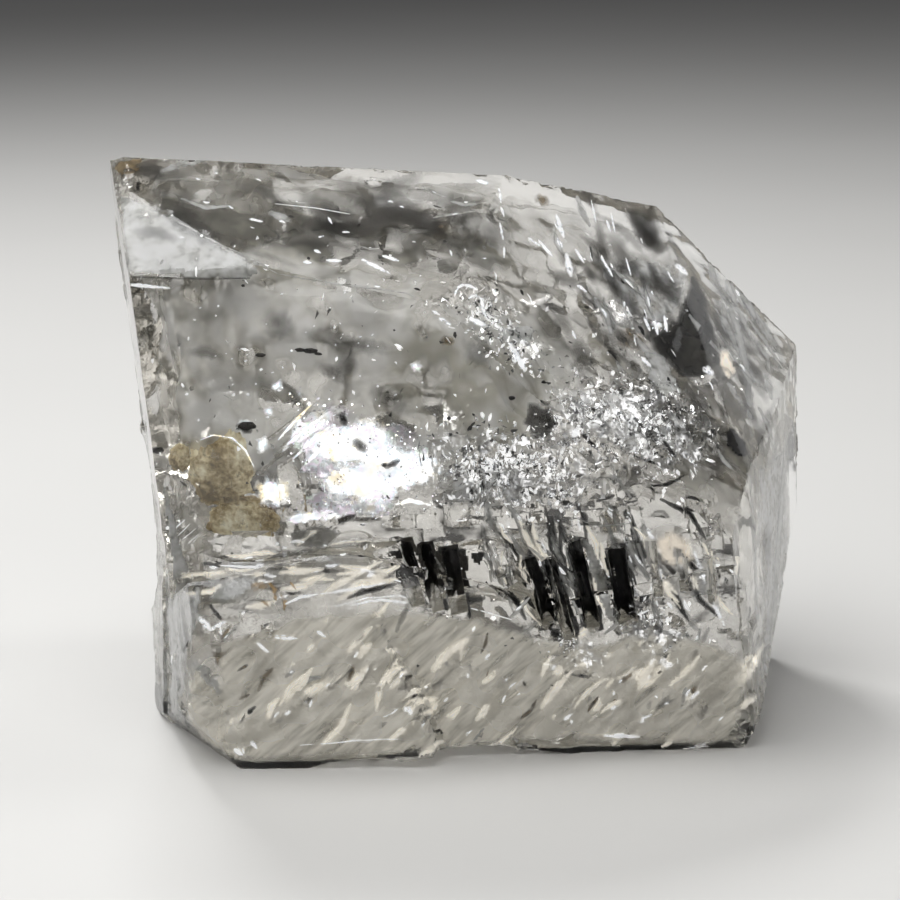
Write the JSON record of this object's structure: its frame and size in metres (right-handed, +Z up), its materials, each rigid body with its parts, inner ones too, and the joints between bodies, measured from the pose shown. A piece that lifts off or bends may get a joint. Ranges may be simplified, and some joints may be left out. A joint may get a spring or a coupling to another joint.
{
  "type": "elestial quartz crystal",
  "caption": "Clear chunky quartz crystal with flat faces, an etched hollow band across the front, a broken terrace under it and stepped growth behind.",
  "frame": {"origin": "on the flat spot that the stone rests on, under the middle of its front half", "axes": "+Z up from the rest, -Y out of the front with the etched band, +X to the right as seen from the front"},
  "size_m": [0.0373, 0.0244, 0.0297],
  "materials": {
    "clear_quartz": "clear crystal, glassy on the faces and frosted where it is etched or broken"
  },
  "bodies": {
    "root": {"quartz_crystal": "clear_quartz"}
  },
  "joints": []
}
